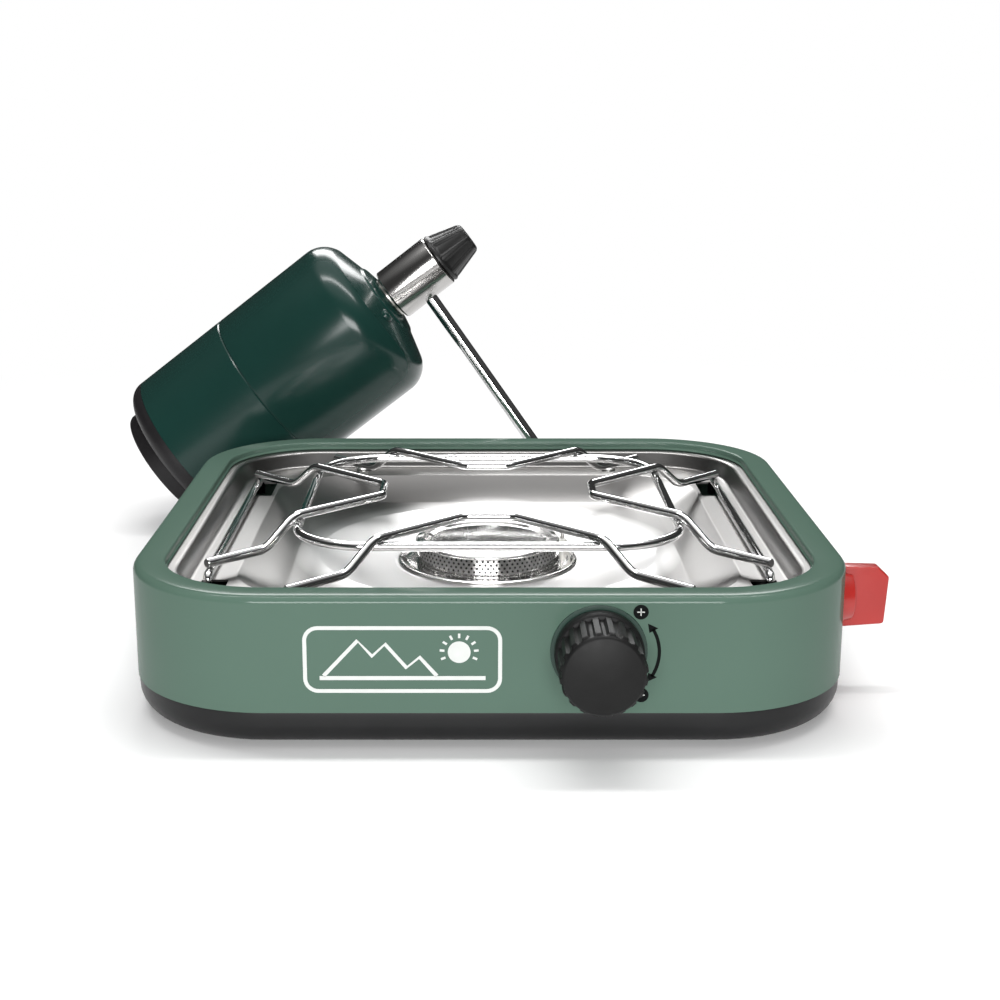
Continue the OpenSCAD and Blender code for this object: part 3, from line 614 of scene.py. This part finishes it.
def make_cap():
    profile = [(0, CAP_TOP - 0.5), (20, CAP_TOP - 0.9), (25.4, CAP_TOP - 1.25), (27.4, CAP_TOP - 0.35),
               (29.6, CAP_TOP), (32.6, CAP_TOP - 0.6), (CAP_R, CAP_TOP - 1.6), (CAP_R - 0.5, CAP_TOP - 2.4),
               (6, CAP_TOP - 2.4), (6, CAP_TOP - 3.8), (0, CAP_TOP - 3.8)]
    solid("burner_cap_pressed", "stove", "burner_steel", lathe(profile, 0.9, 144, False, 5),
          ["burner_cap"], sharp=50)


def make_electrode():
    low, high = corners("electrode")
    at = corners("electrode_insulator")
    x, y = (at[0].x + at[1].x) / 2, (at[0].y + at[1].y) / 2
    inward = Vector((-x, -y, 0)).normalized()
    tip = [(x, y, low.z), (x, y, high.z - 2.6), Vector((x, y, high.z - 0.9)) + inward * 2.6]
    solid("electrode_pin", "stove", "electrode_metal", wire(tip, 0.9, 1.6, 16, 0.2, 6), ["electrode"])
    tube = [(0.95, -7), (2.6, -7), (2.6, -4.4), (3.2, -4.4), (3.2, -2.4), (2.6, -2.4), (2.6, 4.2),
            (1.9, 6), (0.95, 6)]
    placed = moved(lathe(tube, 0.3, 32, True), Matrix.Translation((x, y, DISH)))
    solid("electrode_ceramic", "stove", "ceramic_white", placed, ["electrode_insulator"])


# ---- Controls ----

def make_knob_shade_ring():
    # A thin ring round the knob in a much darker copy of the housing green: painted shade round the knob.
    solid("knob_shade_ring", "stove", "bezel_dark",
          lathe([(6.1, 0), (18.4, 0), (18.4, 0.8), (6.1, 0.8)], 0.25, 96, True), ["knob_bezel"], at=ON_KNOB)


def make_knob():
    """Round back flange, straight ribs and a plain chamfered front disc."""
    ribs, per_rib = 20, 12
    back, front = FRONT - KNOB_BACK, FRONT - KNOB_FRONT
    sides = ribs * per_rib

    def rib(k):
        """0 in a groove, 1 on a rib."""
        t = (k % per_rib + 0.5) / per_rib
        return max(0, min(1, (0.31 - abs(t - 0.5)) / 0.05))

    def ring(radius, height, tall=0.0):
        made = []
        for k in range(sides):
            a = 2 * pi * k / sides
            r = radius + tall * rib(k)
            made.append((r * cos(a), r * sin(a), height))
        return made

    flange = back + 5.5
    rings = [ring(0, back + 5.8), ring(10.4, back + 5.8), ring(10.4, back), ring(16.3, back),
             ring(16.8, back + 0.3), ring(17, back + 0.9), ring(17, flange - 1.2),
             ring(16.6, flange - 0.4), ring(15.9, flange),
             ring(14.8, flange + 0.1, 0.9), ring(14.7, flange + 0.5, 1.4), ring(14.8, front - 3.4, 1.5),
             ring(15.1, front - 2.6, 1.2), ring(15.4, front - 2.0, 0.7), ring(15.5, front - 1.6),
             ring(15.3, front - 0.8), ring(14.7, front - 0.25), ring(14.3, front), ring(0, front)]
    solid("control_knob_moulded", "knob", "knob_black", loft(rings), ["control_knob"], at=ON_KNOB, sharp=38)


def make_igniter():
    """Red turn knob: a round foot and a tall flat grip with one big rounded corner."""
    half, high, reach = 3.4, 13.2, IGNITER_REACH
    grip = [(high, 0.9), (high - 0.4, reach - 4.6), (high - 4.6, reach), (-high + 1.4, reach - 1.2),
            (-high, 0.9)]
    plate = slab(grip, -half, half, 0.7, 1.6, 4)
    # Local x of the outline runs up the housing, local y runs out of it.
    turned = moved(plate, Matrix(((-1, 0, 0, 0), (0, 0, 1, 0), (0, 1, 0, 0), (0, 0, 0, 1))))
    foot = lathe([(0, 4.4), (8.9, 4.4), (8.9, 0.6), (11.4, 0.6), (11.3, 1.6), (10.3, 6.6), (0, 6.6)], 0.5, 72)
    solid("igniter_knob_moulded", "igniter", "igniter_red", joined(turned, foot), ["igniter_knob"],
          at=ON_IGNITER)


# ---- Printed marks on the front ----

def on_front(mesh):
    """From (x, z) on the front face, with local z standing out of it."""
    return moved(mesh, Matrix(((1, 0, 0, 0), (0, 0, -1, FRONT), (0, 1, 0, 0), (0, 0, 0, 1))))


def disc(x, z, radius, low, high):
    return loft([circle(radius, low, 48, (x, z)), circle(radius, high, 48, (x, z))], capped=True)


def bar(x, z, width, height, low, high):
    shape = outline(0, width / 2, height / 2, min(width, height) / 4, steps=3)
    return loft([[(x + u, z + v, level) for u, v in shape] for level in (low, high)], capped=True)


def make_marks():
    """More and less signs, the turning arrow, and a plain landscape badge."""
    base, dark, light = -0.2, 0.06, 0.1
    plus, minus, turn, sweep_r = (56.6, 56.1), (57.4, 22.9), Vector((45.6, 39.9)), 18.3
    long, thin = 2.9, 0.38
    signs = [bar(*plus, long, thin, base, light), bar(*plus, thin, long, base, light),
             bar(*minus, long, thin, base, light)]
    solid("control_signs", "stove", "print_white", on_front(joined(*signs)))
    sweep = arc(*turn, sweep_r, -31, 31, 40)
    parts = [disc(*plus, 2.9, base, dark), disc(*minus, 2.9, base, dark), stroke(sweep, 1.3, base, dark)]
    for end in (-1, 1):
        heel, tip = radians(29 * end), radians(40.5 * end)
        head = [turn + Vector((cos(tip), sin(tip))) * (sweep_r - 0.3)]
        head += [turn + Vector((cos(heel), sin(heel))) * (sweep_r + side * 1.9 * end) for side in (-1, 1)]
        parts.append(loft([[(*p, level) for p in head] for level in (base, dark)], capped=True))
    solid("control_arrow", "stove", "print_black", on_front(joined(*parts)))
    middle, half_w, half_h = Vector((-33.3, 37.2)), 37.0, 12.6
    edge = [middle + Vector(p) for p in outline(0, half_w, half_h, 5, steps=8)]
    badge = [stroke(edge, 1.5, base, light, closed=True)]
    peaks = [(-30, -6.5), (-17, 7.5), (-11.5, 1.4), (-6.5, 6.2), (1.5, -3.2), (6.5, 1.0), (13, -6.5)]
    badge.append(stroke([middle + Vector(p) for p in peaks], 1.5, base, light))
    badge.append(stroke([middle + Vector(p) for p in ((-31.5, -7.4), (31.5, -7.4))], 1.6, base, light))
    badge.append(disc(*(middle + Vector((21.5, 3.0))), 4.3, base, light))
    for k in range(9):
        a = radians(-22.5 + 28.1 * k)
        spoke = [middle + Vector((21.5, 3.0)) + Vector((cos(a), sin(a))) * r for r in (5.6, 7.4)]
        if (spoke[1] - middle).y > -5.5:
            badge.append(stroke(spoke, 0.9, base, light))
    solid("front_badge", "stove", "print_white", on_front(joined(*badge)))


# ---- Pot support ----

def make_grate():
    """Four bent arms on a rounded ring, and two rods that carry it."""
    half, out, low = 11.0, 48.0, corners("grate_wire_front")[0]
    reach = -low.x - WIRE_R * 0.7
    end = -low.y - WIRE_R * 0.7
    a, b = 47.0, 84.0
    arm = [(half, -out, HIGH_Z), (a, -b, HIGH_Z), (a + 11, -b - 11, LOW_Z), (reach, -end, LOW_Z)]
    arm = [(-x, y, z) for x, y, z in reversed(arm)] + arm
    for turn, side in enumerate(("front", "right", "back", "left")):
        mesh = moved(wire(arm, WIRE_R, [0, 14, 12, 7, 7, 12, 14, 0], 24),
                     Matrix.Rotation(turn * pi / 2, 4, "Z"))
        solid("pot_arm_" + side, "pot_support", "chrome_wire", mesh, ["grate_wire_" + side])
    section = [(WIRE_R + WIRE_R * cos(t), WIRE_R * sin(t)) for t in (2 * pi * k / 20 for k in range(20))]
    rings = [[(x, y, RING_Z + z) for x, y in
              outline(i, RING_HALF + WIRE_R, RING_HALF + WIRE_R, 32 + WIRE_R, steps=20)] for i, z in section]
    solid("pot_ring", "pot_support", "chrome_wire", loft(rings, joined=True), ["grate_ring"])
    for side, x in (("left", -ROD_X), ("right", ROD_X)):
        rod = [(x, -ROD_Y, ROD_FOOT), (x, -ROD_Y, ROD_Z), (x, ROD_Y, ROD_Z), (x, ROD_Y, ROD_FOOT)]
        solid("pot_rod_" + side, "pot_support", "chrome_wire", wire(rod, WIRE_R, 5, 24),
              ["grate_rod_" + side])


# ---- Fuel cylinder, along its own axis from the seam ----

BAND_U, BASE_U, FOOT_U, SHOULDER_U, COLLAR_U, NECK_U = -59.0, -69.0, -78.5, 64.0, 86.5, 99.0
REG_U, REG_LEN, REG_R, GRIP_U, PIPE_U = 88.0, 34.0, 15.5, 143.5, 105.0


def make_bottle():
    r = BOTTLE_R
    dome = arc(r - 16, SHOULDER_U, 16, 0, 62, 14)
    upper = [(r - 1.2, 0.1), (r - 0.1, 0.1), (r, 0.5)] + dome
    upper += softened([dome[-1], (23.6, COLLAR_U - 3.4), (22, COLLAR_U - 2.2), (15, COLLAR_U - 0.6),
                       (12.5, COLLAR_U)], 1.2, False)[1:]
    upper += [(12.5, COLLAR_U - 2.5), (21, COLLAR_U - 4.6), (r - 17, SHOULDER_U + 13),
              (r - 6, SHOULDER_U + 8), (r - 1.2, SHOULDER_U)]
    solid("cylinder_shell_upper", "fuel_cylinder", "cylinder_paint",
          loft([circle(a, z, 160) for a, z in upper], joined=True), ["cylinder_upper"], at=ON_BOTTLE)
    lower = [(r - 1.2, 0), (r - 0.15, 0), (r - 0.45, -0.5), (r, -1.1), (r, BAND_U), (r - 1, BAND_U - 0.2),
             (r - 1, BASE_U + 9), (r - 8, BASE_U + 3.6), (r - 9, BASE_U + 4.6), (r - 2.2, BASE_U + 10)]
    solid("cylinder_shell_lower", "fuel_cylinder", "cylinder_paint",
          loft([circle(a, z, 160) for a, z in lower], joined=True), ["cylinder_lower"], at=ON_BOTTLE)
    cup = [(r, BAND_U + 0.2), (r, BAND_U - 1), (r, BASE_U + 8)] + arc(r - 8, BASE_U + 8, 8, 0, -90, 10)[1:]
    cup += [(37.6, BASE_U), (37.2, BASE_U - 0.5), (37, BASE_U - 1.5), (37, FOOT_U + 1.4),
            (36.5, FOOT_U + 0.4), (35.5, FOOT_U), (32, FOOT_U), (31.2, FOOT_U + 0.5),
            (31, FOOT_U + 1.5), (31, BASE_U + 1.5),
            (0, BASE_U + 1.5), (0, BASE_U + 3), (r - 8.5, BASE_U + 3), (r - 1, BASE_U + 8.5),
            (r - 1, BAND_U + 0.2)]
    solid("cylinder_base_cup", "fuel_cylinder", "cylinder_black",
          loft([circle(a, z, 160) for a, z in cup], joined=True), ["cylinder_base"], at=ON_BOTTLE)
    valve = moved(lathe([(0, 0), (4, 0), (4, 6.2), (3.3, 7.5), (1.4, 7.5), (1.1, 6.6), (0, 6.6)], 0.5, 32),
                  Matrix.Rotation(radians(-80), 4, "Z") @ Matrix.Translation((28, 0, 76)))
    solid("relief_valve_stud", "fuel_cylinder", "cylinder_paint", valve, ["relief_valve"], at=ON_BOTTLE)
    grooves = [(6.5, COLLAR_U - 6), (12.4, COLLAR_U - 6), (12.4, COLLAR_U + 1)]
    for k in range(6):
        start = COLLAR_U + 1.4 + k * 1.8
        grooves += [(11.6, start), (11.6, start + 0.4), (12.4, start + 0.9), (12.4, start + 1.3)]
    grooves += [(12.2, NECK_U), (6.5, NECK_U)]
    solid("cylinder_neck_threaded", "fuel_cylinder", "neck_steel",
          loft([circle(a, z, 72) for a, z in grooves], joined=True), ["cylinder_neck"], at=ON_BOTTLE)


# ---- Regulator ----

def make_regulator():
    top = REG_U + REG_LEN
    body = [(REG_R - 0.9, REG_U), (REG_R, REG_U + 0.9), (REG_R, top - 0.9), (REG_R - 0.9, top), (4.06, top),
            (4.06, NECK_U + 13), (11, NECK_U + 13), (11, NECK_U + 3), (12.8, NECK_U + 2.6), (12.8, REG_U)]
    body = lathe(body, 0.35, 128, True)
    solid("regulator_barrel", "regulator", "regulator_steel", body, ["regulator_body"], at=ON_BOTTLE)
    down = AXIS.cross(Vector((0, 1, 0)))
    down = down if down.z < 0 else -down
    start = SEAM + AXIS * PIPE_U + down * (REG_R - 3.5)
    knee = Vector((INLET_X, BACK + 54, INLET_Z))
    pipe = [start, knee, Vector((INLET_X, BACK + 3.4, INLET_Z))]
    spigot = moved(lathe([(0, -15), (4, -15), (4, 6), (0, 6)], 0.3, 40), scaled(on_inlet()))
    solid("supply_pipe_bent", "regulator", "chrome_wire",
          joined(wire(pipe, 3.7, 14, 40, 0.2, 14), spigot), ["supply_pipe"])
    nut = [(4, 4.4), (8.2, 4.4), (8.5, 4.8)]
    for k in range(4):
        at = 5.6 + 2.0 * k
        nut += [(8.5, at), (8.1, at + 0.3), (8.1, at + 0.7), (8.5, at + 1.0)]
    nut += [(8.5, 13.2), (5.2, 15.9), (3.72, 15.9), (3.72, 5.6), (4, 5.4)]
    solid("pipe_nut_turned", "regulator", "regulator_steel",
          loft([circle(a, z, 72) for a, z in nut], joined=True), ["pipe_nut"], at=on_inlet())


def make_grip():
    """Tapered hand grip with eight flutes between raised ribs."""
    ribs, per_rib = 8, 16
    sides = ribs * per_rib
    low, high = REG_U + REG_LEN + 0.4, GRIP_U

    def ring(radius, height, flute=0.0):
        made = []
        for k in range(sides):
            t = abs((k % per_rib + 0.5) / per_rib - 0.5) * 2
            a = 2 * pi * (k + 0.5) / sides
            depth = flute * max(0, min(1, (0.74 - t) / 0.12))
            made.append(((radius - depth) * cos(a), (radius - depth) * sin(a), height))
        return made

    rings = [ring(0, low + 5), ring(4.1, low + 5), ring(4.1, low), ring(14.5, low), ring(15, low + 0.5),
             ring(15, low + 1.5), ring(14.6, low + 2.1), ring(14.2, low + 2.4), ring(14.1, low + 3, 0.6),
             ring(13.9, low + 4, 1.0), ring(9.6, high - 2.4, 0.8), ring(9.1, high - 1.2, 0.4),
             ring(8.4, high - 0.4), ring(7.6, high), ring(0, high)]
    solid("regulator_grip_moulded", "grip", "grip_black", loft(rings), ["regulator_grip"],
          at=ON_BOTTLE, sharp=38)


def dress_nodes():
    """The CAD nodes that stay in view get their finishes."""
    slots = {part["node"]: part["material_slot"] for part in frame["record"]["subparts"]}
    for name, node in frame["nodes"].items():
        node.data.materials.clear()
        node.data.materials.append(MATERIALS[slots[name]])


# ---- Stage, lights and camera ----

def make_stage():
    """A pale round floor that turns to plain white well away from the stove."""
    reach, turns = 0.9, [2 * pi * k / 96 for k in range(96)]
    data = bpy.data.meshes.new("floor")
    data.from_pydata([(reach * cos(a), reach * sin(a), 0) for a in turns], [], [tuple(range(96))])
    floor = bpy.data.objects.new("floor", data)
    bpy.context.scene.collection.objects.link(floor)
    pale = finish("floor_white", (0.93, 0.93, 0.93), 0.8, mottle=0.004, patch=300, grain=20, bump=0.0,
                  specular=0.05)
    tree = pale.node_tree
    fade = tree.nodes.new("ShaderNodeMapRange")
    fade.interpolation_type = "SMOOTHSTEP"
    fade.inputs["From Min"].default_value = 0.14
    fade.inputs["From Max"].default_value = 0.8
    fade.inputs["To Min"].default_value = 0.05
    from_middle = length_of(tree, tree.nodes["Texture Coordinate"].outputs["Object"])
    tree.links.new(from_middle, fade.inputs["Value"])
    glow = tree.nodes.new("ShaderNodeEmission")
    mix = tree.nodes.new("ShaderNodeMixShader")
    tree.links.new(fade.outputs["Result"], mix.inputs["Fac"])
    tree.links.new(tree.nodes["Principled BSDF"].outputs["BSDF"], mix.inputs[1])
    tree.links.new(glow.outputs["Emission"], mix.inputs[2])
    tree.links.new(mix.outputs["Shader"], tree.nodes["Material Output"].inputs["Surface"])
    data.materials.append(pale)


def softbox(name, at, aim, size, power):
    light = bpy.data.lights.new(name, "AREA")
    light.shape = "RECTANGLE"
    light.size, light.size_y = size
    light.energy = power
    lamp = bpy.data.objects.new(name, light)
    bpy.context.scene.collection.objects.link(lamp)
    lamp.location = at
    lamp.rotation_euler = (Vector(aim) - Vector(at)).to_track_quat("-Z", "Y").to_euler()


def make_lights():
    softbox("front", (-0.05, -1.5, 0.42), (0, -0.1, 0.04), (0.9, 0.5), 22)
    softbox("overhead", (0, 0.05, 1.4), (0, 0.02, 0), (1.6, 0.1), 12)
    softbox("back", (0, 1.5, 0.98), (0, 0.05, 0), (1.1, 0.55), 16)
    world = bpy.data.worlds.new("studio")
    world.use_nodes = True
    bpy.context.scene.world = world
    tree = world.node_tree
    coords = tree.nodes.new("ShaderNodeTexCoord")
    split = tree.nodes.new("ShaderNodeSeparateXYZ")
    tree.links.new(coords.outputs["Generated"], split.inputs["Vector"])
    sky = tree.nodes.new("ShaderNodeValToRGB")
    tree.links.new(split.outputs["Z"], sky.inputs["Fac"])
    # Sine of the height above the horizon, and brightness: dark low down, a pale ceiling.
    sky_top = 0.95
    bands = [(0.0, 0.03), (0.25, 0.03), (0.6, 0.06), (0.75, 0.25), (0.85, 0.85), (1.0, sky_top)]
    sky.color_ramp.elements[0].position = bands[0][0]
    sky.color_ramp.elements[1].position = bands[-1][0]
    for place, _ in bands[1:-1]:
        sky.color_ramp.elements.new(place)
    for element, (place, level) in zip(sky.color_ramp.elements, bands):
        element.position = place
        element.color = (level / sky_top, level / sky_top, level / sky_top, 1)
    background = tree.nodes["Background"]
    tree.links.new(sky.outputs["Color"], background.inputs["Color"])
    background.inputs["Strength"].default_value = sky_top
    backdrop = tree.nodes.new("ShaderNodeBackground")
    path = tree.nodes.new("ShaderNodeLightPath")
    mix = tree.nodes.new("ShaderNodeMixShader")
    tree.links.new(path.outputs["Is Camera Ray"], mix.inputs["Fac"])
    tree.links.new(background.outputs["Background"], mix.inputs[1])
    tree.links.new(backdrop.outputs["Background"], mix.inputs[2])
    backdrop.inputs["Color"].default_value = (1, 1, 1, 1)
    tree.links.new(mix.outputs["Shader"], tree.nodes["World Output"].inputs["Surface"])


def make_camera():
    data = bpy.data.cameras.new("camera")
    data.lens = 57.6
    data.shift_x = 0.0246
    camera = bpy.data.objects.new("camera", data)
    bpy.context.scene.collection.objects.link(camera)
    camera.location = (-0.00566, -0.715, 0.2457)
    camera.rotation_euler = (radians(75.67), 0, 0)
    bpy.context.scene.camera = camera
    bpy.context.scene.view_settings.view_transform = "Standard"


make_camera()
dress_nodes()
make_housing()
make_base()
make_pan()
make_pan_screws()
make_bowl()
make_drum()
make_cap()
make_electrode()
make_knob_shade_ring()
make_knob()
make_igniter()
make_marks()
make_grate()
make_bottle()
make_regulator()
make_grip()
make_stage()
make_lights()
